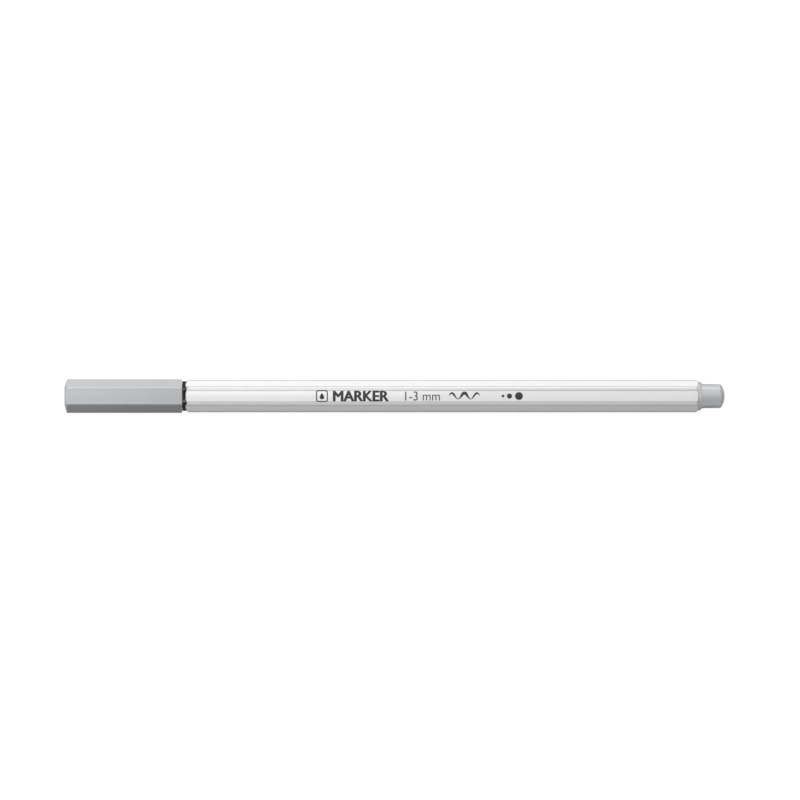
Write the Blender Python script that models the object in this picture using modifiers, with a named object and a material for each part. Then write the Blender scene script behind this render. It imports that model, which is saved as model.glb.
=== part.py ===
"""A hexagonal calligraphy marker with a brush nib, lying on one of its flats with the cap on.

Metres. The pen lies along X with the cap's closed end at -X. +Z is up and z = 0 is the surface under it.
Its length is centred on x = 0. Along the pen, a station is the distance from the cap's closed end.
"""

import math

import bmesh
import bpy
from mathutils import Matrix

# Whole pen
PEN_LENGTH = 0.167
CAP_FLATS = 0.00752  # across flats
CAP_CORNER = 0.0005  # radius of the rounded corners
BARREL_FLATS = 0.0074
BARREL_CORNER = 0.0009
AXIS_HEIGHT = CAP_FLATS / 2
AXIS_START = (-PEN_LENGTH / 2, 0.0, AXIS_HEIGHT)

# Stations of the outside
CAP_RIM = 0.0298
BARREL_START = 0.03064
BARREL_END = 0.16055

# Clearances
SEAT_GAP = 0.00005  # between faces that touch on the real pen
SNAP_GAP = 0.00005  # radial, between the snap bead and the cap's bore

# Cap
CAP_END_FLAT = 0.00225  # radius of the flat on its closed end
CAP_END_SETBACK = 0.00063  # how far the closed end's cone drops at the corners
CAP_END_WALL = 0.0015
CAP_BORE = 0.00312  # radius
CAP_MOUTH_RADIUS = 0.0034  # where the mouth's 45 degree countersink meets the rim
CAP_RIM_EDGE = 0.00012  # outer edge break at the rim's corners

# Liner that seals the cap round the holder's nose
LINER_START = CAP_END_WALL + 0.00025
LINER_END = 0.0196
LINER_WALL = 0.00055
LINER_FLOOR = 0.0008
LINER_LIP_START = 0.0165
LINER_LIP_LENGTH = 0.001
LINER_LIP_RADIUS = 0.00213

# Barrel
BARREL_BORE = 0.00302  # radius
BARREL_FACE = 0.0033  # radius of the flat ring on each end, where the end's cone starts
END_SLOPE = 0.79  # how far the end's cone drops along the barrel for its growth in radius

# Front holder
COLLAR_START = CAP_RIM + SEAT_GAP
COLLAR_MIDDLE = 0.0302  # where the neck meets the spigot, inside the collar
COLLAR_FLATS = 0.00662
COLLAR_CORNER = 0.0006
COLLAR_BORE = 0.0026  # radius, inside the holder's wall
HOLDER_EDGE = 0.00015
NECK_RADIUS = 0.00298
NECK_START = 0.0216
BEAD_CENTRE = 0.0268
BEAD_HALF_WIDTH = 0.0004
SHOULDER_START = 0.0200
NOSE_BASE_RADIUS = 0.00206
NOSE_RADIUS = 0.0017
NOSE_START = 0.0126
NOSE_EDGE = 0.0003
HOLDER_END = 0.0430
HOLDER_CHAMBER_START = 0.0240
HOLDER_CHAMBER = 0.0022  # radius of the hollow behind the nib's seat

# Brush nib
NIB_RADIUS = 0.00127
NIB_TIP = 0.0046
NIB_TIP_ROUND = 0.0002
NIB_HINGE = 0.0114
NIB_STEM_START = NIB_HINGE + NIB_RADIUS + SEAT_GAP
NIB_STEM_END = 0.0470
NIB_POINTS = 8  # along the tapering side
HINGE_POINTS = 6  # round the ball at the hinge
TIP_POINTS = 4  # round the very tip

# Ink reservoir and its film
CORE_RADIUS = 0.0026
CORE_START = 0.0436
CORE_END = 0.1534
CORE_SOCKET_END = NIB_STEM_END + 0.0003
FILM_WALL = 0.00012

# End plug
PLUG_START = 0.1540
PLUG_INSERT_RADIUS = BARREL_BORE - SEAT_GAP
PLUG_INSERT_EDGE = 0.0004
PLUG_FLANGE_RADIUS = 0.00367
PLUG_FLANGE_SHOULDER = 0.1607  # where the flange's cone starts
PLUG_FLANGE_END = 0.1613
PLUG_BAND_RADIUS = 0.00312
PLUG_BAND_END = 0.1616
PLUG_SPIGOT_RADIUS = 0.00309
PLUG_SPIGOT_END_RADIUS = 0.0030
PLUG_DOME_START = 0.1660
PLUG_DOME_POINTS = 6
PLUG_HOLLOW = 0.0022  # radius
PLUG_HOLLOW_END = 0.1648

# Resolution
ROUND_STEPS = 32
CORNER_SEGMENTS = 3
MERGE = 0.000001
OVERRUN = 0.001  # how far a cutter runs past what it cuts


def material(name, colour, roughness, metallic=0.0):
    """A Principled material of one colour."""
    made = bpy.data.materials.new(name)
    made.use_nodes = True
    shader = made.node_tree.nodes["Principled BSDF"]
    shader.inputs["Base Color"].default_value = (*colour, 1.0)
    shader.inputs["Roughness"].default_value = roughness
    shader.inputs["Metallic"].default_value = metallic
    return made


def collection(name):
    made = bpy.data.collections.new(name)
    bpy.context.scene.collection.children.link(made)
    return made


def lay_along_pen(ob):
    """Local z becomes the station along the pen."""
    ob.rotation_euler = (0.0, math.radians(90), 0.0)
    ob.location = AXIS_START


def turned(name, profile, closed=True):
    """A shape turned round the pen's axis, from (radius, station) points that run down its outer side."""
    mesh = bpy.data.meshes.new(name)
    count = len(profile)
    edges = [(i, i + 1) for i in range(count - 1)]
    if closed:
        edges.append((count - 1, 0))
    mesh.from_pydata([(radius, 0.0, station) for radius, station in profile], edges, [])
    ob = bpy.data.objects.new(name, mesh)
    screw = ob.modifiers.new("Turn", "SCREW")
    screw.axis = "Z"
    screw.angle = math.radians(360)
    screw.steps = ROUND_STEPS
    screw.render_steps = ROUND_STEPS
    screw.use_merge_vertices = True
    screw.merge_threshold = MERGE
    screw.use_smooth_shade = True
    lay_along_pen(ob)
    return ob


def hexagonal(name, flats, corner_radius, start, end):
    """A bar of rounded hexagonal section between two stations, with flats facing up and down."""
    bm = bmesh.new()
    radius = flats / (2 * math.cos(math.radians(30)))
    middle = Matrix.Translation((0.0, 0.0, (start + end) / 2))
    bmesh.ops.create_cone(
        bm, cap_ends=True, segments=6, radius1=radius, radius2=radius, depth=end - start, matrix=middle
    )
    long_edges = [edge for edge in bm.edges if abs(edge.verts[0].co.z - edge.verts[1].co.z) > MERGE]
    offset = corner_radius * math.tan(math.radians(30))
    bmesh.ops.bevel(bm, geom=long_edges, offset=offset, segments=CORNER_SEGMENTS, profile=0.5, affect="EDGES")
    mesh = bpy.data.meshes.new(name)
    bm.to_mesh(mesh)
    bm.free()
    ob = bpy.data.objects.new(name, mesh)
    lay_along_pen(ob)
    return ob


def add_part(ob, look):
    parts.objects.link(ob)
    ob.data.materials.append(look)
    ob.data.shade_smooth()
    ob.data.set_sharp_from_angle(angle=math.radians(30))
    return ob


def trim(ob, cutter, operation):
    """One Boolean with a cutter that the build leaves out."""
    cutters.objects.link(cutter)
    cutter.hide_render = True
    cutter.display_type = "WIRE"
    boolean = ob.modifiers.new(cutter.name, "BOOLEAN")
    boolean.operation = operation
    boolean.object = cutter


def arc(centre_station, radius, first, last, points):
    """(radius, station) points round a circle centred on the pen's axis, by the angle from the cap's end."""
    turns = [math.radians(first + (last - first) * i / (points - 1)) for i in range(points)]
    return [(radius * math.sin(turn), centre_station - radius * math.cos(turn)) for turn in turns]


def end_setback(radius):
    """How far the cone on each end of the barrel has dropped at a radius."""
    return END_SLOPE * (radius - BARREL_FACE)


def cap_shell():
    """The hexagonal cap, with a slightly coned closed end and a countersunk mouth."""
    corner_reach = CAP_FLATS / (2 * math.cos(math.radians(30)))
    slope = CAP_END_SETBACK / (corner_reach - CAP_END_FLAT)
    outside = corner_reach + OVERRUN
    shell = add_part(hexagonal("cap_shell", CAP_FLATS, CAP_CORNER, 0.0, CAP_RIM), grey_plastic)
    ends = turned(
        "cap_ends",
        [
            (0.0, CAP_RIM),
            (corner_reach - CAP_RIM_EDGE, CAP_RIM),
            (outside, CAP_RIM - CAP_RIM_EDGE - OVERRUN),
            (outside, slope * (outside - CAP_END_FLAT)),
            (CAP_END_FLAT, 0.0),
            (0.0, 0.0),
        ],
        closed=False,
    )
    trim(shell, ends, "INTERSECT")
    mouth_depth = CAP_MOUTH_RADIUS - CAP_BORE
    bore = turned(
        "cap_bore",
        [
            (0.0, CAP_RIM + OVERRUN),
            (CAP_MOUTH_RADIUS + OVERRUN, CAP_RIM + OVERRUN),
            (CAP_BORE, CAP_RIM - mouth_depth),
            (CAP_BORE, CAP_END_WALL),
            (0.0, CAP_END_WALL),
        ],
        closed=False,
    )
    trim(shell, bore, "DIFFERENCE")


def cap_inner_sleeve():
    """The round liner in the cap, closed at its outer end, with a lip that seals on the holder's nose."""
    outside = CAP_BORE - SEAT_GAP
    chamber = outside - LINER_WALL
    floor = LINER_START + LINER_FLOOR
    sleeve = turned(
        "cap_inner_sleeve",
        [
            (LINER_LIP_RADIUS, LINER_END),
            (outside, LINER_END),
            (outside, LINER_START),
            (0.0, LINER_START),
            (0.0, floor),
            (chamber, floor),
            (chamber, LINER_LIP_START),
            (LINER_LIP_RADIUS, LINER_LIP_START + LINER_LIP_LENGTH),
        ],
    )
    add_part(sleeve, milky_plastic)


def barrel():
    """The hexagonal tube. A cone on each end cuts its corners back further than its flats."""
    outside = BARREL_FLATS / 2 + OVERRUN
    setback = end_setback(outside)
    tube = add_part(hexagonal("barrel", BARREL_FLATS, BARREL_CORNER, BARREL_START, BARREL_END), white_plastic)
    ends = turned(
        "barrel_ends",
        [
            (0.0, BARREL_END),
            (BARREL_FACE, BARREL_END),
            (outside, BARREL_END - setback),
            (outside, BARREL_START + setback),
            (BARREL_FACE, BARREL_START),
            (0.0, BARREL_START),
        ],
        closed=False,
    )
    trim(tube, ends, "INTERSECT")
    bore = turned(
        "barrel_bore",
        [
            (0.0, BARREL_END + OVERRUN),
            (BARREL_BORE, BARREL_END + OVERRUN),
            (BARREL_BORE, BARREL_START - OVERRUN),
            (0.0, BARREL_START - OVERRUN),
        ],
        closed=False,
    )
    trim(tube, bore, "DIFFERENCE")


def collar():
    """The hexagonal flange between the cap and the barrel, hollowed to take the barrel's coned end."""
    outside = COLLAR_FLATS / 2 + OVERRUN
    back = BARREL_START - SEAT_GAP
    flange = hexagonal("collar", COLLAR_FLATS, COLLAR_CORNER, COLLAR_START, back + OVERRUN)
    ends = turned(
        "collar_ends",
        [
            (COLLAR_BORE, back),
            (BARREL_FACE, back),
            (outside, back + end_setback(outside)),
            (outside, COLLAR_START - OVERRUN),
            (COLLAR_BORE, COLLAR_START - OVERRUN),
        ],
    )
    trim(flange, ends, "INTERSECT")
    return flange


def front_section():
    """The black holder: a spigot in the barrel, the collar, a neck with a snap bead, and a nose."""
    spigot = BARREL_BORE - SEAT_GAP
    bead = CAP_BORE - SNAP_GAP
    nib_hole = NIB_RADIUS + SEAT_GAP
    holder = turned(
        "front_section",
        [
            (HOLDER_CHAMBER, HOLDER_END),
            (spigot - HOLDER_EDGE, HOLDER_END),
            (spigot, HOLDER_END - HOLDER_EDGE),
            (spigot, COLLAR_MIDDLE),
            (NECK_RADIUS, COLLAR_MIDDLE),
            (NECK_RADIUS, BEAD_CENTRE + BEAD_HALF_WIDTH),
            (bead, BEAD_CENTRE),
            (NECK_RADIUS, BEAD_CENTRE - BEAD_HALF_WIDTH),
            (NECK_RADIUS, NECK_START),
            (NOSE_BASE_RADIUS, SHOULDER_START),
            (NOSE_RADIUS, NOSE_START + NOSE_EDGE),
            (NOSE_RADIUS - NOSE_EDGE / 2, NOSE_START),
            (nib_hole, NOSE_START),
            (nib_hole, HOLDER_CHAMBER_START),
            (HOLDER_CHAMBER, HOLDER_CHAMBER_START + HOLDER_CHAMBER - nib_hole),
        ],
    )
    add_part(holder, black_plastic)
    trim(holder, collar(), "UNION")


def nib_stem():
    """The part of the nib that is held in the holder and pushed into the reservoir."""
    stem = turned(
        "nib_stem",
        [
            (0.0, NIB_STEM_END),
            (NIB_RADIUS, NIB_STEM_END),
            (NIB_RADIUS, NIB_STEM_START),
            (0.0, NIB_STEM_START),
        ],
        closed=False,
    )
    add_part(stem, inked_fibre)


def brush_tip():
    """The part of the nib that bends: a ball round the hinge, running out in a curved point."""
    tip_centre = NIB_TIP + NIB_TIP_ROUND
    reach = NIB_HINGE - tip_centre
    ball = arc(NIB_HINGE, NIB_RADIUS, 180, 90, HINGE_POINTS)
    point = []
    for i in range(1, NIB_POINTS):
        along = 1 - i / NIB_POINTS
        swell = (NIB_RADIUS - NIB_TIP_ROUND) * along * (2 - along)
        point.append((NIB_TIP_ROUND + swell, tip_centre + reach * along))
    end = arc(tip_centre, NIB_TIP_ROUND, 90, 0, TIP_POINTS)
    tip = turned("brush_tip", ball + point + end, closed=False)
    add_part(tip, inked_fibre)


def ink_reservoir():
    """The fibre core, with the socket that the nib's stem makes in its front end."""
    socket = NIB_RADIUS + SEAT_GAP
    core = turned(
        "ink_reservoir",
        [
            (0.0, CORE_END),
            (CORE_RADIUS, CORE_END),
            (CORE_RADIUS, CORE_START),
            (socket, CORE_START),
            (socket, CORE_SOCKET_END),
            (0.0, CORE_SOCKET_END),
        ],
        closed=False,
    )
    add_part(core, inked_core)


def reservoir_film():
    """The thin film wrapped round the fibre core, open at both ends."""
    inside = CORE_RADIUS + SEAT_GAP
    outside = inside + FILM_WALL
    film = turned(
        "reservoir_film",
        [(inside, CORE_END), (outside, CORE_END), (outside, CORE_START), (inside, CORE_START)],
    )
    add_part(film, milky_plastic)


def end_plug():
    """The hollow plug: an insert, a flange seated on the barrel's coned end, a spigot and a dome."""
    seat = BARREL_END + SEAT_GAP
    dome_height = PEN_LENGTH - PLUG_DOME_START
    dome_radius = (PLUG_SPIGOT_END_RADIUS**2 + dome_height**2) / (2 * dome_height)
    dome_edge = math.degrees(math.asin(PLUG_SPIGOT_END_RADIUS / dome_radius))
    dome = arc(PEN_LENGTH - dome_radius, dome_radius, 180, 180 - dome_edge, PLUG_DOME_POINTS)
    side = [
        (PLUG_SPIGOT_RADIUS, PLUG_BAND_END),
        (PLUG_BAND_RADIUS, PLUG_BAND_END),
        (PLUG_BAND_RADIUS, PLUG_FLANGE_END),
        (PLUG_FLANGE_RADIUS, PLUG_FLANGE_SHOULDER),
        (PLUG_FLANGE_RADIUS, seat - end_setback(PLUG_FLANGE_RADIUS)),
        (BARREL_FACE, seat),
        (PLUG_INSERT_RADIUS, seat),
        (PLUG_INSERT_RADIUS, PLUG_START + PLUG_INSERT_EDGE),
        (PLUG_INSERT_RADIUS - PLUG_INSERT_EDGE / 2, PLUG_START),
        (PLUG_HOLLOW, PLUG_START),
        (PLUG_HOLLOW, PLUG_HOLLOW_END),
        (0.0, PLUG_HOLLOW_END),
    ]
    add_part(turned("end_plug", dome + side, closed=False), grey_plastic)


for old in list(bpy.data.objects):
    bpy.data.objects.remove(old, do_unlink=True)

parts = collection("calligraphy_marker")
cutters = collection("cutters")

grey_plastic = material("grey_plastic", (0.47, 0.48, 0.49), 0.38)
white_plastic = material("white_plastic", (0.86, 0.87, 0.88), 0.25)
black_plastic = material("black_plastic", (0.010, 0.010, 0.011), 0.12)
milky_plastic = material("milky_plastic", (0.75, 0.77, 0.78), 0.45)
inked_fibre = material("inked_fibre", (0.40, 0.41, 0.43), 0.85)
inked_core = material("inked_core", (0.45, 0.46, 0.48), 0.90)

cap_shell()
cap_inner_sleeve()
barrel()
front_section()
nib_stem()
brush_tip()
ink_reservoir()
reservoir_film()
end_plug()
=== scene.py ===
"""Looks of the hexagonal brush marker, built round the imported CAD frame.

Metres. The pen lies along X with its cap at -X; a station is the distance along X from the cap's closed end.
Every skin is a set of (radius, station) profiles, one for each direction round the pen's axis.
"""

import math

import bmesh
import bpy
from mathutils import Matrix, Vector


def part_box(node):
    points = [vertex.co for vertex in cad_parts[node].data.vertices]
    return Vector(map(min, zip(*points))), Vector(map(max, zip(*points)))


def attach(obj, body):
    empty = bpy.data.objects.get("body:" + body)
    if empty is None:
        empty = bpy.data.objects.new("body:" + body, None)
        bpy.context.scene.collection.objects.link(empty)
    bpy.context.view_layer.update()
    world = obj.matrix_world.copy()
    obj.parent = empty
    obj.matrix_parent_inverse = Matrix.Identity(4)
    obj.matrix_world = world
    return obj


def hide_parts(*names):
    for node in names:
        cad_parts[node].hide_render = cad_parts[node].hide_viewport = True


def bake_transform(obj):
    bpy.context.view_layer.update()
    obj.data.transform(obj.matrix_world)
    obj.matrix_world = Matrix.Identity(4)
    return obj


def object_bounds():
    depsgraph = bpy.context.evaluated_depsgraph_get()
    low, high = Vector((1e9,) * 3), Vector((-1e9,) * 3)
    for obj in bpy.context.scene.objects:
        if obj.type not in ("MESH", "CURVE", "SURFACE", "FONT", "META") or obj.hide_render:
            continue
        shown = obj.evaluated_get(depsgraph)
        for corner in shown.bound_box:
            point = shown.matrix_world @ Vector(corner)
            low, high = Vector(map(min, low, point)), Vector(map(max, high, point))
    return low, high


MM = 0.001
HEX_STEP = math.radians(60)
HALF_SIDE = math.radians(30)

# Mesh density
FLAT_POINTS = 24  # across one flat
CORNER_POINTS = 8  # round one corner
ROUND_POINTS = 96  # round a turned piece
FILLET_POINTS = 4
WELD = 0.000001

# Moulded and extruded flats
LIP_HEIGHT = 0.02 * MM  # how far a flat rises again next to a corner
LIP_START = 0.76  # of the way from a flat's middle to its edge

# Rounding of edges
SHARP = 0.0
FINE_EDGE = 0.06 * MM
SOFT_EDGE = 0.15 * MM
BROAD_EDGE = 0.30 * MM

# Cap
CAP_CORNER = 0.5 * MM
CAP_CROWN = 0.02 * MM  # how far a flat bulges at its middle
CAP_END_FLAT = 2.25 * MM
CAP_END_DROP = 0.63 * MM
CAP_WALL = 1.5 * MM
CAP_BORE = 3.12 * MM
CAP_MOUTH_RADIUS = 3.4 * MM  # where the mouth's countersink meets the rim

# Liner
LINER_WALL = 0.55 * MM
LINER_FLOOR = 0.8 * MM
LINER_LIP_LENGTH = 3.1 * MM
LINER_LIP_TAPER = 1.0 * MM
LINER_LIP_RADIUS = 2.13 * MM

# Barrel
BARREL_CORNER = 0.9 * MM
BARREL_CROWN = 0.04 * MM
BARREL_BORE = 3.02 * MM
BARREL_FACE = 3.30 * MM  # radius of the flat ring on each end, where the end's cone starts
END_SLOPE = 0.79  # how far the end's cone drops along the barrel for its growth in radius

# Holder
COLLAR_WIDTH = 0.74 * MM
COLLAR_FLATS = 6.62 * MM
COLLAR_CORNER = 0.6 * MM
SPIGOT_RADIUS = 2.97 * MM
NECK_RADIUS = 2.98 * MM
NECK_LENGTH = 8.24 * MM
SHOULDER_LENGTH = 1.6 * MM
BEAD_RADIUS = 3.07 * MM
BEAD_BACK = 3.05 * MM  # from the collar's front to the bead
BEAD_HALF_WIDTH = 0.45 * MM
NOSE_BASE_RADIUS = 2.06 * MM
NOSE_RADIUS = 1.7 * MM
NIB_HOLE = 1.32 * MM
CHAMBER_RADIUS = 2.2 * MM
CHAMBER_DEPTH = 11.4 * MM  # of the nib's seat in the nose

# Nib
NIB_RADIUS = 1.27 * MM
NIB_TIP_ROUND = 0.2 * MM
NIB_POINTS = 28
NIB_BEND = 2.2 * MM  # half the length over which the nib bends

# Plug
PLUG_FLANGE_RADIUS = 3.67 * MM
PLUG_SHOULDER = 0.10 * MM  # from the barrel's end to the flange's cone
PLUG_FLANGE_WIDTH = 0.70 * MM
PLUG_BAND_RADIUS = 3.12 * MM
PLUG_BAND_WIDTH = 0.36 * MM
PLUG_SPIGOT_RADIUS = 3.09 * MM
PLUG_SPIGOT_END_RADIUS = 3.0 * MM
PLUG_DOME = 1.0 * MM
PLUG_INSERT_RADIUS = 2.97 * MM
PLUG_HOLLOW = 2.2 * MM
PLUG_HOLLOW_WALL = 2.2 * MM
PLUG_DOME_POINTS = 14

# Stripes along the barrel's corners, each with a darker line painted as shade on its edges
STRIPE_HALF_WIDTH = 0.72 * MM
# width of the darker line painted as shade on each edge of a stripe
PAINTED_SHADE_LINE_WIDTH = 0.22 * MM
STRIPE_BLUR = 0.05 * MM

# Print on the barrel's top flat, by stations along the pen
PRINT_PROUD = 0.012 * MM
PRINT_SUNK = 0.02 * MM
PRINT_SLICE = 0.3 * MM  # spacing of the cuts that let the print follow the crowned flat
PLATE_HALF = 1.0 * MM  # half the height of a plate before it is laid
MARK_CENTRE = 65.15 * MM
MARK_SIZE = 3.0 * MM
WORD = ("MARKER", 67.9 * MM, 82.1 * MM, 2.75 * MM)  # text, start, end and height
WORD_WEIGHT = 0.13 * MM  # added to each side of a letter's strokes
WIDTH_NOTE = ("1-3 mm", 86.2 * MM, 95.0 * MM, 2.3 * MM)
STROKE_START = 97.2 * MM
STROKE_END = 105.2 * MM
STROKE_SWING = 0.75 * MM
STROKE_THICK = 0.42 * MM  # half of its width at the widest
STROKE_WAVES = 2.5
STROKE_POINTS = 60
DOTS = ((110.95 * MM, 0.35 * MM), (112.6 * MM, 0.65 * MM), (115.0 * MM, 1.0 * MM))  # centre and radius

# Camera and light
VIEW_WIDTH = 202.4 * MM
VIEW_SHIFT = (1.4 * MM, -1.0 * MM)
VIEW_HEIGHT = 0.5
FLOOR_SIZE = 3.0
FLOOR_ALBEDO = 0.12
FLOOR_GLOW = 0.95
BACKDROP_GLOW = 1.0
WORLD_GLOW = 0.23
SOFTBOX_DISTANCE = 0.7
# name: lean from overhead towards +Y in degrees, place along the pen, length, width and power
SOFTBOXES = {
    "overhead_left": (6, -0.275, 0.55, 0.10, 0.85),
    "upper_left": (18, -0.275, 0.55, 0.10, 1.8),
    "overhead_right": (6, 0.275, 0.55, 0.10, 0.2),
    "upper": (32, 0.0, 1.2, 0.14, 1.4),
    "side": (80, 0.0, 1.2, 0.20, 4.5),
}
# name: lean from overhead towards +X in degrees, size and power
END_LIGHTS = {
    "cap_end": (-84, 0.2, 2.2),
    "plug_end": (84, 0.2, 0.6),
}
# the thick cap stays darker underneath than the barrel and the plug
BARREL_FILL = (-85, 0.0, 1.2, 0.14, 1.55)


# Shapes ---------------------------------------------------------------------


def flat_height(flats, corner, crown, across):
    """Height above the axis of a flat that bulges in its middle and rises a little next to the corners."""
    share = min(1.0, abs(across) / flat_half_width(flats, corner))
    rise = max(0.0, (share - LIP_START) / (1.0 - LIP_START))
    return flats / 2 - crown * share**2 + LIP_HEIGHT * rise**2 * (3 - 2 * rise)


def flat_half_width(flats, corner):
    return (flats / 2 - corner) * math.tan(HALF_SIDE)


def hexagon(flats, corner, crown):
    """(angle, reach) round a rounded hexagon with crowned flats, from one corner round to it again."""
    half = flat_half_width(flats, corner)
    edge = flat_height(flats, corner, crown, half)
    tilt = math.atan(2 * crown / half)
    radius = (edge * math.sin(HALF_SIDE) - half * math.cos(HALF_SIDE)) / math.sin(HALF_SIDE - tilt)
    side = []
    for i in range(FLAT_POINTS + 1):
        across = half * (2 * i / FLAT_POINTS - 1)
        side.append((flat_height(flats, corner, crown, across), across))
    centre = Vector((edge, half)) - radius * Vector((math.cos(tilt), math.sin(tilt)))
    for i in range(1, CORNER_POINTS):
        turn = tilt + (2 * HALF_SIDE - 2 * tilt) * i / CORNER_POINTS
        side.append((centre.x + radius * math.cos(turn), centre.y + radius * math.sin(turn)))
    points = []
    for k in range(6):
        facing = HALF_SIDE + HEX_STEP * k
        for out, across in side:
            points.append((facing + math.atan2(across, out), math.hypot(out, across)))
    return points


def circle():
    return [(2 * math.pi * i / ROUND_POINTS, 0.0) for i in range(ROUND_POINTS)]


def rounded(corners):
    """(radius, station) points along straight runs between (radius, station, fillet) corners."""
    points = [corners[0][:2]]
    for before, corner, after in zip(corners, corners[1:], corners[2:]):
        here = Vector(corner[:2])
        fillet = corner[2]
        back = Vector(before[:2]) - here
        ahead = Vector(after[:2]) - here
        if fillet == SHARP:
            points.append(tuple(here))
            continue
        half = back.angle(ahead) / 2
        reach = min(fillet / math.tan(half), 0.45 * back.length, 0.45 * ahead.length)
        centre = here + (back.normalized() + ahead.normalized()).normalized() * (reach / math.cos(half))
        first = here + back.normalized() * reach - centre
        last = here + ahead.normalized() * reach - centre
        sweep = first.angle(last)
        for i in range(FILLET_POINTS + 1):
            share = i / FILLET_POINTS
            spoke = (first * math.sin((1 - share) * sweep) + last * math.sin(share * sweep)) / math.sin(sweep)
            points.append(tuple(centre + spoke))
    points.append(corners[-1][:2])
    return points


def skin(name, outline, profile):
    """A closed piece from one profile in each direction. A profile's ends meet, or lie on the axis."""
    bm = bmesh.new()
    columns = []
    for angle, reach in outline:
        column = []
        for radius, station in profile(reach):
            y = radius * math.cos(angle)
            z = radius * math.sin(angle)
            column.append(bm.verts.new((PEN_START + station, y, AXIS_HEIGHT + z)))
        columns.append(column)
    for column, following in zip(columns, columns[1:] + columns[:1]):
        for i in range(len(column) - 1):
            bm.faces.new((column[i], column[i + 1], following[i + 1], following[i]))
    bmesh.ops.remove_doubles(bm, verts=bm.verts, dist=WELD)
    bmesh.ops.dissolve_degenerate(bm, edges=bm.edges, dist=WELD)
    bmesh.ops.recalc_face_normals(bm, faces=bm.faces)
    return from_bmesh(name, bm)


def from_bmesh(name, bm, smooth_angle=40):
    mesh = bpy.data.meshes.new(name)
    bm.to_mesh(mesh)
    bm.free()
    mesh.shade_smooth()
    mesh.set_sharp_from_angle(angle=math.radians(smooth_angle))
    ob = bpy.data.objects.new(name, mesh)
    bpy.context.scene.collection.objects.link(ob)
    return ob


def finish_piece(ob, look, body, slot, *nodes):
    ob.data.materials.clear()
    ob.data.materials.append(look)
    if nodes:
        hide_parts(*nodes)
    if body:
        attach(ob, body)
    return ob


def stations(node):
    """Where a CAD node starts and ends along the pen."""
    low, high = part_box(node)
    return low.x - PEN_START, high.x - PEN_START


def across_flats(node):
    low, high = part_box(node)
    return high.z - low.z


# Pieces ---------------------------------------------------------------------


def make_cap():
    start, end = stations("cap_shell")
    flats = across_flats("cap_shell")
    slope = CAP_END_DROP / (flats / math.sqrt(3) - CAP_END_FLAT)

    def profile(reach):
        return rounded(
            [
                (0.0, start, SHARP),
                (CAP_END_FLAT, start, BROAD_EDGE),
                (reach, start + slope * (reach - CAP_END_FLAT), SOFT_EDGE),
                (reach, end, BROAD_EDGE),
                (CAP_MOUTH_RADIUS, end, FINE_EDGE),
                (CAP_BORE, end - (CAP_MOUTH_RADIUS - CAP_BORE), FINE_EDGE),
                (CAP_BORE, start + CAP_WALL, BROAD_EDGE),
                (0.0, start + CAP_WALL, SHARP),
            ]
        )

    ob = skin("cap", hexagon(flats, CAP_CORNER, CAP_CROWN), profile)
    return finish_piece(ob, cap_plastic(), "cap", "grey_plastic", "cap_shell")


def make_liner():
    start, end = stations("cap_inner_sleeve")
    low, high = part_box("cap_inner_sleeve")
    outside = (high.y - low.y) / 2
    chamber = outside - LINER_WALL

    def profile(_):
        return rounded(
            [
                (0.0, start, SHARP),
                (outside, start, SOFT_EDGE),
                (outside, end, SOFT_EDGE),
                (LINER_LIP_RADIUS, end, SOFT_EDGE),
                (LINER_LIP_RADIUS, end - LINER_LIP_LENGTH + LINER_LIP_TAPER, BROAD_EDGE),
                (chamber, end - LINER_LIP_LENGTH, BROAD_EDGE),
                (chamber, start + LINER_FLOOR, BROAD_EDGE),
                (0.0, start + LINER_FLOOR, SHARP),
            ]
        )

    ob = skin("cap_liner", circle(), profile)
    return finish_piece(ob, milky_plastic(), "cap", "milky_plastic", "cap_inner_sleeve")


def end_setback(radius):
    """How far the cone on each end of the barrel has dropped at a radius."""
    return END_SLOPE * (radius - BARREL_FACE)


def make_barrel():
    start, end = stations("barrel")
    flats = across_flats("barrel")
    middle = (start + end) / 2

    def profile(reach):
        drop = end_setback(reach)
        return rounded(
            [
                (BARREL_BORE, middle, SHARP),
                (BARREL_BORE, start, FINE_EDGE),
                (BARREL_FACE, start, FINE_EDGE),
                (reach, start + drop, SOFT_EDGE),
                (reach, end - drop, SOFT_EDGE),
                (BARREL_FACE, end, FINE_EDGE),
                (BARREL_BORE, end, FINE_EDGE),
                (BARREL_BORE, middle, SHARP),
            ]
        )

    ob = skin("barrel_tube", hexagon(flats, BARREL_CORNER, BARREL_CROWN), profile)
    return finish_piece(ob, striped_plastic(), "pen", "white_plastic", "barrel")


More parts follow.
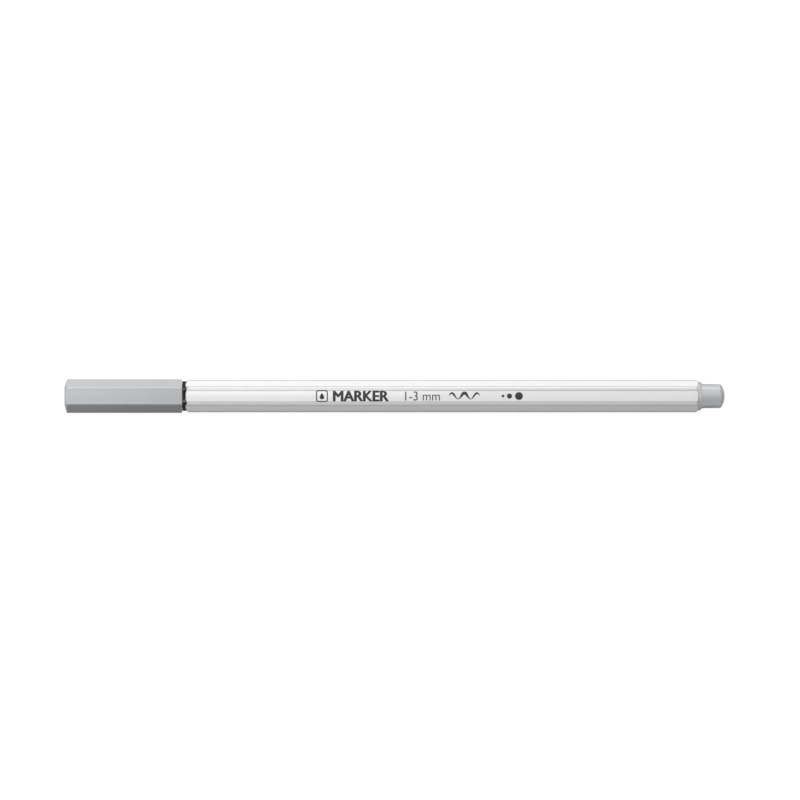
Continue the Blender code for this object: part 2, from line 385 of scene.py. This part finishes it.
def make_holder():
    start, end = stations("front_section")
    collar_end = stations("barrel")[0] - FINE_EDGE
    collar = collar_end - COLLAR_WIDTH
    neck = collar - NECK_LENGTH
    bead = collar - BEAD_BACK

    def profile(reach):
        return rounded(
            [
                (NIB_HOLE, start + CHAMBER_DEPTH / 2, SHARP),
                (NIB_HOLE, start, SOFT_EDGE),
                (NOSE_RADIUS, start, SOFT_EDGE),
                (NOSE_BASE_RADIUS, neck - SHOULDER_LENGTH, SOFT_EDGE),
                (NECK_RADIUS, neck, SOFT_EDGE),
                (NECK_RADIUS, bead - BEAD_HALF_WIDTH, SOFT_EDGE),
                (BEAD_RADIUS, bead, SOFT_EDGE),
                (NECK_RADIUS, bead + BEAD_HALF_WIDTH, SOFT_EDGE),
                (NECK_RADIUS, collar, FINE_EDGE),
                (reach, collar, SOFT_EDGE),
                (reach, collar_end + end_setback(reach), FINE_EDGE),
                (SPIGOT_RADIUS, collar_end, FINE_EDGE),
                (SPIGOT_RADIUS, end, SOFT_EDGE),
                (CHAMBER_RADIUS, end, SOFT_EDGE),
                (CHAMBER_RADIUS, start + CHAMBER_DEPTH + CHAMBER_RADIUS - NIB_HOLE, SOFT_EDGE),
                (NIB_HOLE, start + CHAMBER_DEPTH, SOFT_EDGE),
                (NIB_HOLE, start + CHAMBER_DEPTH / 2, SHARP),
            ]
        )

    ob = skin("nib_holder", hexagon(COLLAR_FLATS, COLLAR_CORNER, 0.0), profile)
    return finish_piece(ob, black_plastic(), "pen", "black_plastic", "front_section")


def make_nib():
    tip = stations("brush_tip")[0]
    stem_start, end = stations("nib_stem")
    hinge = stem_start - NIB_RADIUS
    round_centre = tip + NIB_TIP_ROUND

    def profile(_):
        points = []
        for i in range(FILLET_POINTS):
            turn = math.radians(90) * i / FILLET_POINTS
            points.append((NIB_TIP_ROUND * math.sin(turn), round_centre - NIB_TIP_ROUND * math.cos(turn)))
        for i in range(NIB_POINTS + 1):
            along = i / NIB_POINTS
            swell = (NIB_RADIUS - NIB_TIP_ROUND) * along * (2 - along)
            points.append((NIB_TIP_ROUND + swell, round_centre + (hinge - round_centre) * along))
        for i in range(1, NIB_POINTS + 1):
            points.append((NIB_RADIUS, hinge + (2 * NIB_BEND) * i / NIB_POINTS))
        points.append((NIB_RADIUS, end))
        points.append((0.0, end))
        return points

    ob = skin("brush_nib", circle(), profile)
    finish_piece(ob, nib_fibre(), None, "inked_fibre", "brush_tip", "nib_stem")
    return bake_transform(ob)


def make_plug():
    start, end = stations("end_plug")
    flange = stations("barrel")[1] + FINE_EDGE
    flange_end = flange + PLUG_FLANGE_WIDTH
    band_end = flange_end + PLUG_BAND_WIDTH
    dome_start = end - PLUG_DOME
    dome_radius = (PLUG_SPIGOT_END_RADIUS**2 + PLUG_DOME**2) / (2 * PLUG_DOME)
    dome_sweep = math.asin(PLUG_SPIGOT_END_RADIUS / dome_radius)

    def profile(_):
        points = rounded(
            [
                (0.0, end - PLUG_HOLLOW_WALL, SHARP),
                (PLUG_HOLLOW, end - PLUG_HOLLOW_WALL, BROAD_EDGE),
                (PLUG_HOLLOW, start, SOFT_EDGE),
                (PLUG_INSERT_RADIUS, start, BROAD_EDGE),
                (PLUG_INSERT_RADIUS, flange, SHARP),
                (BARREL_FACE, flange, SHARP),
                (PLUG_FLANGE_RADIUS, flange - end_setback(PLUG_FLANGE_RADIUS), FINE_EDGE),
                (PLUG_FLANGE_RADIUS, flange + PLUG_SHOULDER, SOFT_EDGE),
                (PLUG_BAND_RADIUS, flange_end, SOFT_EDGE),
                (PLUG_BAND_RADIUS, band_end, FINE_EDGE / 2),
                (PLUG_SPIGOT_RADIUS, band_end, SHARP),
                (PLUG_SPIGOT_END_RADIUS, dome_start - FINE_EDGE, SOFT_EDGE),
                (PLUG_SPIGOT_END_RADIUS - FINE_EDGE, dome_start, SHARP),
            ]
        )
        for i in range(1, PLUG_DOME_POINTS + 1):
            turn = dome_sweep * (1 - i / PLUG_DOME_POINTS)
            points.append((dome_radius * math.sin(turn), end - dome_radius * (1 - math.cos(turn))))
        return points

    ob = skin("end_cap_plug", circle(), profile)
    return finish_piece(ob, plug_plastic(), "pen", "grey_plastic", "end_plug")


# Print ----------------------------------------------------------------------


def outline_curve(name, *loops):
    """A filled flat shape from closed loops of (along, across) points. A loop inside another is a hole."""
    curve = bpy.data.curves.new(name, "CURVE")
    curve.dimensions = "2D"
    curve.fill_mode = "BOTH"
    for loop in loops:
        spline = curve.splines.new("POLY")
        spline.points.add(len(loop) - 1)
        spline.use_cyclic_u = True
        for point, (along, across) in zip(spline.points, loop):
            point.co = (along, across, 0.0, 1.0)
    return curve


def text_curve(name, text, height):
    curve = bpy.data.curves.new(name, "FONT")
    curve.body = text
    curve.size = height
    return curve


def plate(name, curve):
    """A welded closed mesh from a filled flat curve, thick enough to be trimmed later."""
    curve.extrude = PLATE_HALF
    ob = bpy.data.objects.new(name, curve)
    bpy.context.scene.collection.objects.link(ob)
    bm = bmesh.new()
    bm.from_mesh(bpy.data.meshes.new_from_object(ob.evaluated_get(bpy.context.evaluated_depsgraph_get())))
    bpy.data.objects.remove(ob)
    bmesh.ops.remove_doubles(bm, verts=bm.verts, dist=WELD)
    return bm


def thicken(name, bm, weight):
    """Joins the plate with copies moved aside and across, which makes its strokes bolder."""
    base = from_bmesh(name, bm)
    copies = []
    for aside, across in ((weight, 0.0), (-weight, 0.0), (0.0, weight / 2), (0.0, -weight / 2)):
        moved = base.data.copy()
        moved.transform(Matrix.Translation((aside, across, 0.0)))
        copy = bpy.data.objects.new(name, moved)
        bpy.context.scene.collection.objects.link(copy)
        copies.append(copy)
    for copy in copies:
        union = base.modifiers.new("Join", "BOOLEAN")
        union.operation = "UNION"
        union.object = copy
    bold = bmesh.new()
    bold.from_mesh(bpy.data.meshes.new_from_object(base.evaluated_get(bpy.context.evaluated_depsgraph_get())))
    for ob in copies + [base]:
        bpy.data.objects.remove(ob)
    return bold


def lay_print(name, bm):
    """Lays a plate on the barrel's top flat as a layer of ink. Its x is a station, its y runs across."""
    reach = max(abs(vert.co.y) for vert in bm.verts)
    cuts = int(reach / PRINT_SLICE)
    for i in range(-cuts, cuts + 1):
        everything = bm.verts[:] + bm.edges[:] + bm.faces[:]
        at = (0.0, i * PRINT_SLICE, 0.0)
        bmesh.ops.bisect_plane(bm, geom=everything, plane_co=at, plane_no=(0.0, 1.0, 0.0))
    flats = across_flats("barrel")
    for vert in bm.verts:
        surface = AXIS_HEIGHT + flat_height(flats, BARREL_CORNER, BARREL_CROWN, vert.co.y)
        vert.co.z = surface + (PRINT_PROUD if vert.co.z > 0.0 else -PRINT_SUNK)
        vert.co.x += PEN_START
    bmesh.ops.recalc_face_normals(bm, faces=bm.faces)
    return finish_piece(from_bmesh(name, bm), print_ink(), "pen", "black_plastic")


def print_text(name, text, start, end, height, weight=0.0):
    """Plain lettering, stretched to fill a length and a height."""
    bm = plate(name, text_curve(name, text, height))
    if weight:
        bm = thicken(name, bm, weight)
    low = Vector([min(vert.co[axis] for vert in bm.verts) for axis in range(2)])
    high = Vector([max(vert.co[axis] for vert in bm.verts) for axis in range(2)])
    for vert in bm.verts:
        vert.co.x = start + (vert.co.x - low.x) * (end - start) / (high.x - low.x)
        vert.co.y = height * ((vert.co.y - low.y) / (high.y - low.y) - 0.5)
    lay_print(name, bm)


def print_shape(name, *loops):
    lay_print(name, plate(name, outline_curve(name, *loops)))


def ring(centre, across, radius, points):
    turns = [2 * math.pi * i / points for i in range(points)]
    return [(centre + radius * math.cos(turn), across + radius * math.sin(turn)) for turn in turns]


def make_print():
    """A framed drop, a plain word, a line width, a trial stroke and three growing dots."""
    frame_loop = rounded_square(MARK_CENTRE, MARK_SIZE / 2, 0.55 * MM)
    window = rounded_square(MARK_CENTRE, MARK_SIZE / 2 - 0.28 * MM, 0.32 * MM)
    print_shape("print_frame", frame_loop, window)
    print_shape("print_drop", drop(MARK_CENTRE, 0.58 * MM, 1.7 * MM))
    print_text("print_word", *WORD, WORD_WEIGHT)
    print_text("print_line_width", *WIDTH_NOTE)
    print_shape("print_stroke", trial_stroke())
    for number, (centre, radius) in enumerate(DOTS, 1):
        print_shape(f"print_dot_{number}", ring(centre, 0.0, radius, 32))


def rounded_square(centre, reach, corner):
    points = []
    for quarter in range(4):
        for i in range(7):
            turn = math.radians(90 * quarter + 15 * i)
            side = math.radians(90 * quarter + 45)
            along = math.copysign(reach - corner, math.cos(side)) + corner * math.cos(turn)
            across = math.copysign(reach - corner, math.sin(side)) + corner * math.sin(turn)
            points.append((centre + along, across))
    return points


def drop(centre, radius, height):
    """A drop of ink: most of a circle, and two straight sides that meet in a point."""
    base = -height / 2 + radius
    peak = height / 2 - base
    tangent = math.asin(radius / peak)
    points = [(centre, base + peak)]
    for i in range(25):
        turn = math.pi - tangent + (math.pi + 2 * tangent) * i / 24
        points.append((centre + radius * math.cos(turn), base + radius * math.sin(turn)))
    return points


def trial_stroke():
    """A wave drawn with a flexible nib, which swells and thins."""
    upper = []
    lower = []
    length = STROKE_END - STROKE_START
    for i in range(STROKE_POINTS + 1):
        share = i / STROKE_POINTS
        phase = 2 * math.pi * STROKE_WAVES * share
        rise = STROKE_SWING * 2 * math.pi * STROKE_WAVES / length * math.cos(phase)
        normal = Vector((-rise, 1.0)).normalized()
        press = 0.5 - 0.5 * math.cos(phase + math.radians(90))
        half = STROKE_THICK * math.sin(math.pi * share) ** 0.5 * (0.25 + 0.75 * press)
        at = Vector((STROKE_START + length * share, STROKE_SWING * math.sin(phase)))
        upper.append(tuple(at + normal * half))
        lower.append(tuple(at - normal * half))
    return upper + lower[-2:0:-1]


# Materials ------------------------------------------------------------------


class Nodes:
    """Short calls for building one material's node tree."""

    def __init__(self, name):
        self.material = bpy.data.materials.new(name)
        self.material.use_nodes = True
        self.tree = self.material.node_tree
        self.shader = self.tree.nodes["Principled BSDF"]
        self.place = self.add("ShaderNodeTexCoord").outputs["Object"]

    def add(self, kind, **settings):
        node = self.tree.nodes.new(kind)
        for name, value in settings.items():
            setattr(node, name, value)
        return node

    def link(self, source, target):
        self.tree.links.new(source, target)

    def maths(self, operation, *values):
        node = self.add("ShaderNodeMath", operation=operation)
        for socket, value in zip(node.inputs, values):
            if isinstance(value, (int, float)):
                socket.default_value = value
            else:
                self.link(value, socket)
        return node.outputs[0]

    def noise(self, scale, detail=3.0, stretch=(1.0, 1.0, 1.0), roughness=0.5):
        """Noise whose grain is 1 / scale metres, longer along an axis where stretch is small."""
        mapping = self.add("ShaderNodeMapping")
        mapping.inputs["Scale"].default_value = stretch
        self.link(self.place, mapping.inputs["Vector"])
        texture = self.add("ShaderNodeTexNoise")
        texture.inputs["Scale"].default_value = scale
        texture.inputs["Detail"].default_value = detail
        texture.inputs["Roughness"].default_value = roughness
        self.link(mapping.outputs[0], texture.inputs["Vector"])
        return texture.outputs["Fac"]

    def between(self, value, low, high):
        """Value, which runs from 0 to 1, spread between two numbers."""
        return self.maths("MULTIPLY_ADD", value, high - low, low)

    def mix(self, share, first, second):
        node = self.add("ShaderNodeMix", data_type="RGBA")
        for socket, value in ((node.inputs[0], share), (node.inputs[6], first), (node.inputs[7], second)):
            if isinstance(value, tuple):
                socket.default_value = (*value, 1.0)
            elif isinstance(value, (int, float)):
                socket.default_value = value
            else:
                self.link(value, socket)
        return node.outputs[2]

    def bump(self, *layers):
        """Bump from (height, strength, distance) layers."""
        normal = None
        for height, strength, distance in layers:
            node = self.add("ShaderNodeBump")
            node.inputs["Strength"].default_value = strength
            node.inputs["Distance"].default_value = distance
            self.link(height, node.inputs["Height"])
            if normal is not None:
                self.link(normal, node.inputs["Normal"])
            normal = node.outputs[0]
        self.link(normal, self.shader.inputs["Normal"])

    def set(self, **values):
        for name, value in values.items():
            socket = self.shader.inputs[name.replace("_", " ")]
            if isinstance(value, (int, float, tuple)):
                socket.default_value = (*value, 1.0) if isinstance(value, tuple) else value
            else:
                self.link(value, socket)


def cached(make):
    """Each material is made once and shared by the pieces that use it."""
    made = []

    def get():
        if not made:
            made.append(make())
        return made[0]

    return get


def grey_plastic(name, roughness):
    """Satin moulded plastic in the ink's light grey."""
    n = Nodes(name)
    cloud = n.noise(220.0, 4.0)
    flow = n.noise(900.0, 3.0, (0.12, 1.0, 1.0))
    grain = n.noise(9000.0, 2.0)
    tone = n.mix(cloud, (0.425, 0.436, 0.449), (0.445, 0.456, 0.469))
    n.set(Base_Color=n.mix(n.between(flow, 0.0, 0.3), tone, (0.475, 0.486, 0.497)))
    n.set(Roughness=n.between(cloud, roughness, roughness + 0.06))
    n.bump((flow, 0.25, 0.01 * MM), (grain, 0.20, 0.004 * MM))
    return n.material


@cached
def cap_plastic():
    return grey_plastic("grey_cap_plastic", 0.29)


@cached
def plug_plastic():
    return grey_plastic("grey_plug_plastic", 0.26)


@cached
def milky_plastic():
    n = Nodes("milky_moulded_plastic")
    cloud = n.noise(300.0, 3.0)
    grain = n.noise(7000.0, 2.0)
    n.set(Base_Color=n.mix(cloud, (0.66, 0.68, 0.69), (0.74, 0.76, 0.77)))
    n.set(Roughness=n.between(grain, 0.38, 0.52))
    n.bump((grain, 0.2, 0.005 * MM))
    return n.material


@cached
def black_plastic():
    n = Nodes("black_gloss_plastic")
    cloud = n.noise(500.0, 3.0)
    rings = n.noise(3500.0, 3.0, (1.0, 0.08, 0.08))
    n.set(Base_Color=n.mix(cloud, (0.006, 0.006, 0.0065), (0.011, 0.011, 0.012)))
    n.set(Roughness=n.between(rings, 0.07, 0.12))
    n.bump((rings, 0.05, 0.002 * MM))
    return n.material


@cached
def striped_plastic():
    """White gloss plastic with a pale grey stripe over each corner, and a thin darker line painted on each of
    its edges as shade.
    """
    n = Nodes("white_striped_plastic")
    parts = n.add("ShaderNodeSeparateXYZ")
    n.link(n.place, parts.inputs[0])
    height = n.maths("SUBTRACT", parts.outputs[2], AXIS_HEIGHT)
    turn = n.maths("ADD", n.maths("ARCTAN2", height, parts.outputs[1]), 2 * math.pi)
    from_corner = n.maths("PINGPONG", turn, HALF_SIDE)
    squares = n.maths("ADD", n.maths("POWER", height, 2.0), n.maths("POWER", parts.outputs[1], 2.0))
    radius = n.maths("SQRT", squares)
    aside = n.maths("MULTIPLY", radius, n.maths("SINE", from_corner))
    stripe = edge_mask(n, aside, STRIPE_HALF_WIDTH)
    # painted shade: a thin darker line along each edge of the stripe
    inner = edge_mask(n, aside, STRIPE_HALF_WIDTH - PAINTED_SHADE_LINE_WIDTH)
    painted_shade_line = n.maths("SUBTRACT", stripe, inner)
    cloud = n.noise(150.0, 3.0, (0.2, 1.0, 1.0))
    drawn = n.noise(2500.0, 3.0, (0.02, 1.0, 1.0))
    grain = n.noise(8000.0, 2.0)
    white = n.mix(cloud, (0.73, 0.732, 0.73), (0.75, 0.752, 0.75))
    grey = n.mix(drawn, (0.57, 0.572, 0.57), (0.62, 0.622, 0.62))
    colour = n.mix(stripe, white, grey)
    # the darker colour here is the painted shade of the stripe's edge lines
    n.set(Base_Color=n.mix(painted_shade_line, colour, (0.48, 0.482, 0.48)))
    n.set(Roughness=n.between(drawn, 0.14, 0.20))
    n.bump((drawn, 0.2, 0.006 * MM), (grain, 0.12, 0.003 * MM), (stripe, 0.5, 0.01 * MM))
    return n.material


def edge_mask(n, distance, limit):
    """1 where distance is under limit and 0 past it, over a short blur."""
    node = n.add("ShaderNodeMapRange", interpolation_type="SMOOTHSTEP")
    n.link(distance, node.inputs["Value"])
    node.inputs["From Min"].default_value = limit - STRIPE_BLUR / 2
    node.inputs["From Max"].default_value = limit + STRIPE_BLUR / 2
    node.inputs["To Min"].default_value = 1.0
    node.inputs["To Max"].default_value = 0.0
    return node.outputs[0]


@cached
def nib_fibre():
    """Grey-inked fibre: fine bundles along the nib, darker where the ink stands."""
    n = Nodes("inked_nib_fibre")
    strands = n.noise(9000.0, 4.0, (0.03, 1.0, 1.0), 0.6)
    cloud = n.noise(900.0, 3.0)
    tone = n.mix(cloud, (0.30, 0.305, 0.315), (0.42, 0.425, 0.435))
    n.set(Base_Color=n.mix(n.between(strands, 0.0, 0.8), tone, (0.20, 0.205, 0.215)))
    n.set(Roughness=n.between(strands, 0.45, 0.8))
    n.bump((strands, 0.6, 0.03 * MM))
    return n.material


@cached
def core_fibre():
    """The reservoir's crimped fibre."""
    n = Nodes("inked_core_fibre")
    strands = n.noise(6000.0, 4.0, (0.05, 1.0, 1.0), 0.6)
    cloud = n.noise(120.0, 3.0)
    tone = n.mix(cloud, (0.33, 0.335, 0.345), (0.47, 0.475, 0.485))
    n.set(Base_Color=n.mix(strands, tone, (0.25, 0.255, 0.265)))
    n.set(Roughness=n.between(strands, 0.75, 0.95))
    n.bump((strands, 0.7, 0.05 * MM))
    return n.material


@cached
def clear_film():
    n = Nodes("reservoir_wrap_film")
    creases = n.noise(700.0, 3.0, (0.3, 1.0, 1.0))
    n.set(Base_Color=n.mix(creases, (0.70, 0.72, 0.73), (0.80, 0.82, 0.83)))
    n.set(Roughness=n.between(creases, 0.18, 0.35))
    n.bump((creases, 0.3, 0.02 * MM))
    return n.material


@cached
def print_ink():
    n = Nodes("black_print_ink")
    speck = n.noise(5000.0, 3.0)
    n.set(Base_Color=n.mix(speck, (0.008, 0.008, 0.009), (0.018, 0.018, 0.019)))
    n.set(Roughness=n.between(speck, 0.35, 0.5))
    n.bump((speck, 0.2, 0.004 * MM))
    return n.material


# Stage ----------------------------------------------------------------------


def make_camera():
    data = bpy.data.cameras.new("camera")
    data.type = "ORTHO"
    data.ortho_scale = VIEW_WIDTH
    camera = bpy.data.objects.new("camera", data)
    camera.location = (VIEW_SHIFT[0], VIEW_SHIFT[1], VIEW_HEIGHT)
    bpy.context.scene.collection.objects.link(camera)
    bpy.context.scene.camera = camera


def only_camera_sees(ob):
    """Keeps a piece of the stage from lighting the pen, or showing in its gloss."""
    ob.visible_diffuse = False
    ob.visible_glossy = False
    ob.visible_transmission = False


def stage_material(name, albedo, glow):
    n = Nodes(name)
    n.set(Base_Color=(albedo, albedo, albedo), Roughness=0.9)
    n.shader.inputs["Emission Color"].default_value = (1.0, 1.0, 1.0, 1.0)
    n.shader.inputs["Emission Strength"].default_value = glow
    return n.material


def make_floor():
    bm = bmesh.new()
    bmesh.ops.create_grid(bm, x_segments=1, y_segments=1, size=FLOOR_SIZE / 2)
    floor = from_bmesh("floor", bm)
    floor.data.materials.append(stage_material("pale_floor", FLOOR_ALBEDO, FLOOR_GLOW))
    only_camera_sees(floor)


def make_backdrop():
    """A pale dome far behind everything, which lets all light through."""
    bm = bmesh.new()
    bmesh.ops.create_uvsphere(bm, u_segments=48, v_segments=24, radius=FLOOR_SIZE)
    backdrop = from_bmesh("backdrop", bm)
    backdrop.data.materials.append(stage_material("pale_backdrop", 0.0, BACKDROP_GLOW))
    only_camera_sees(backdrop)
    backdrop.visible_shadow = False


def area_light(name, power, place, turn):
    """An area light, unseen by the camera, that shines along its own -Z."""
    data = bpy.data.lights.new(name, "AREA")
    data.energy = power
    light = bpy.data.objects.new(name, data)
    light.location = place
    light.rotation_euler = turn
    light.visible_camera = False
    bpy.context.scene.collection.objects.link(light)
    return light


def make_softbox(name, lean, along, length, width, power):
    """A long softbox beside the pen, leaning from straight overhead towards +Y by an angle in degrees."""
    turn = math.radians(lean)
    place = (along, SOFTBOX_DISTANCE * math.sin(turn), SOFTBOX_DISTANCE * math.cos(turn))
    light = area_light(name, power, place, (-turn, 0.0, 0.0))
    light.data.shape = "RECTANGLE"
    light.data.size = length
    light.data.size_y = width
    return light


def make_end_light(name, lean, size, power):
    """A square softbox off one end of the pen, leaning from overhead towards +X by an angle in degrees."""
    turn = math.radians(lean)
    place = (SOFTBOX_DISTANCE * math.sin(turn), 0.0, SOFTBOX_DISTANCE * math.cos(turn))
    light = area_light(name, power, place, (0.0, turn, 0.0))
    light.data.size = size


def make_barrel_fill(*pieces):
    """A softbox low on the near side that lights only these pieces."""
    light = make_softbox("barrel_fill", *BARREL_FILL)
    light.light_linking.receiver_collection = bpy.data.collections.new("lit_by_barrel_fill")
    for piece in pieces:
        light.light_linking.receiver_collection.objects.link(piece)


def make_lights(barrel, plug):
    for name, placing in END_LIGHTS.items():
        make_end_light(name, *placing)
    for name, placing in SOFTBOXES.items():
        make_softbox(name, *placing)
    make_barrel_fill(barrel, plug)


def make_world():
    world = bpy.data.worlds.new("studio")
    bpy.context.scene.world = world
    world.use_nodes = True
    background = world.node_tree.nodes["Background"]
    background.inputs["Color"].default_value = (1.0, 1.0, 1.0, 1.0)
    background.inputs["Strength"].default_value = WORLD_GLOW


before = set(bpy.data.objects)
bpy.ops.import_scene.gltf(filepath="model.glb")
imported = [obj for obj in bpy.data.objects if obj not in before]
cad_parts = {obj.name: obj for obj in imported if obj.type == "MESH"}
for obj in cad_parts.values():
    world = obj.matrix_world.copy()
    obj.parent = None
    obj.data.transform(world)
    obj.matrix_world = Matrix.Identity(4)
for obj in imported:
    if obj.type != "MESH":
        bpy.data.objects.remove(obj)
cad_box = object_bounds()
PEN_START = cad_box[0].x
AXIS_HEIGHT = (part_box("cap_shell")[0].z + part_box("cap_shell")[1].z) / 2

make_camera()
make_cap()
make_liner()
barrel = make_barrel()
make_holder()
make_nib()
plug = make_plug()
make_print()
for node, look in (("ink_reservoir", core_fibre), ("reservoir_film", clear_film)):
    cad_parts[node].data.materials.clear()
    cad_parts[node].data.materials.append(look())

make_floor()
make_backdrop()
make_world()
make_lights(barrel, plug)
bpy.context.scene.view_settings.view_transform = "Standard"
